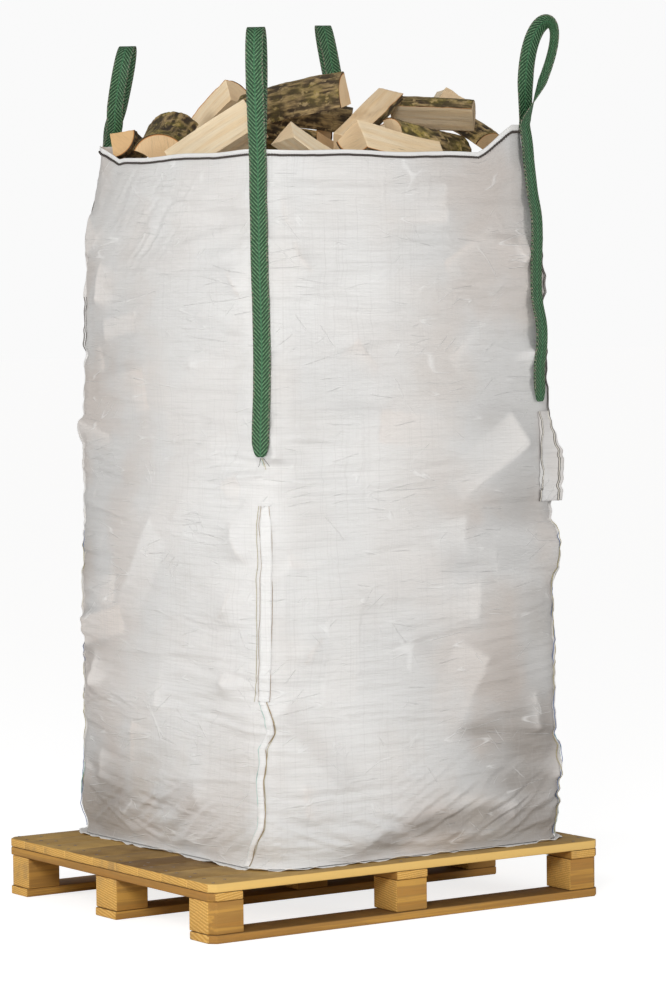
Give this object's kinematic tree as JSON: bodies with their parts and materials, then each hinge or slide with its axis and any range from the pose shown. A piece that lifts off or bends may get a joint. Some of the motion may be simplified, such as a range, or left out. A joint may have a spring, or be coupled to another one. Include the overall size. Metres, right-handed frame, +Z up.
{
  "type": "bulk bag of firewood on a pallet",
  "caption": "Tall square woven bulk bag with corner lifting loops, filled above its rim with split firewood logs and standing on a wooden block pallet.",
  "frame": {"origin": "centre of the pallet's underside, on the floor", "axes": "+Z up, +X along the pallet's long side and its deck boards, +Y along its short side; the corner between -X and -Y is the bag's front corner"},
  "size_m": [1.2, 1.0388, 2.3256],
  "materials": {
    "pallet_pine": "rough-sawn, orange-brown",
    "woven_polypropylene": "white coated woven cloth, slightly translucent",
    "green_webbing": "dark green herringbone webbing",
    "split_wood": "split pale hardwood with bark"
  },
  "bodies": {
    "root": {"bottom_board_1": "pallet_pine", "bottom_board_2": "pallet_pine", "bottom_board_3": "pallet_pine", "block_1_1": "pallet_pine", "block_1_2": "pallet_pine", "block_1_3": "pallet_pine", "block_2_1": "pallet_pine", "block_2_2": "pallet_pine", "block_2_3": "pallet_pine", "block_3_1": "pallet_pine", "block_3_2": "pallet_pine", "block_3_3": "pallet_pine", "stringer_1": "pallet_pine", "stringer_2": "pallet_pine", "stringer_3": "pallet_pine", "deck_board_1": "pallet_pine", "deck_board_2": "pallet_pine", "deck_board_3": "pallet_pine", "deck_board_4": "pallet_pine", "deck_board_5": "pallet_pine", "deck_board_6": "pallet_pine", "deck_board_7": "pallet_pine", "deck_board_8": "pallet_pine", "deck_board_9": "pallet_pine", "bag_base": "woven_polypropylene", "bag_panel_front": "woven_polypropylene", "bag_panel_right": "woven_polypropylene", "bag_panel_back": "woven_polypropylene", "bag_panel_left": "woven_polypropylene", "lifting_loop_front": "green_webbing", "lifting_loop_right": "green_webbing", "lifting_loop_back": "green_webbing", "lifting_loop_left": "green_webbing", "firewood_fill": "split_wood", "log_01": "split_wood", "log_02": "split_wood", "log_03": "split_wood", "log_04": "split_wood", "log_05": "split_wood", "log_06": "split_wood", "log_07": "split_wood", "log_08": "split_wood", "log_09": "split_wood", "log_10": "split_wood", "log_11": "split_wood", "log_12": "split_wood", "log_13": "split_wood", "log_14": "split_wood", "log_15": "split_wood", "log_16": "split_wood", "log_17": "split_wood", "log_18": "split_wood", "log_19": "split_wood", "log_20": "split_wood", "log_21": "split_wood"}
  },
  "joints": []
}
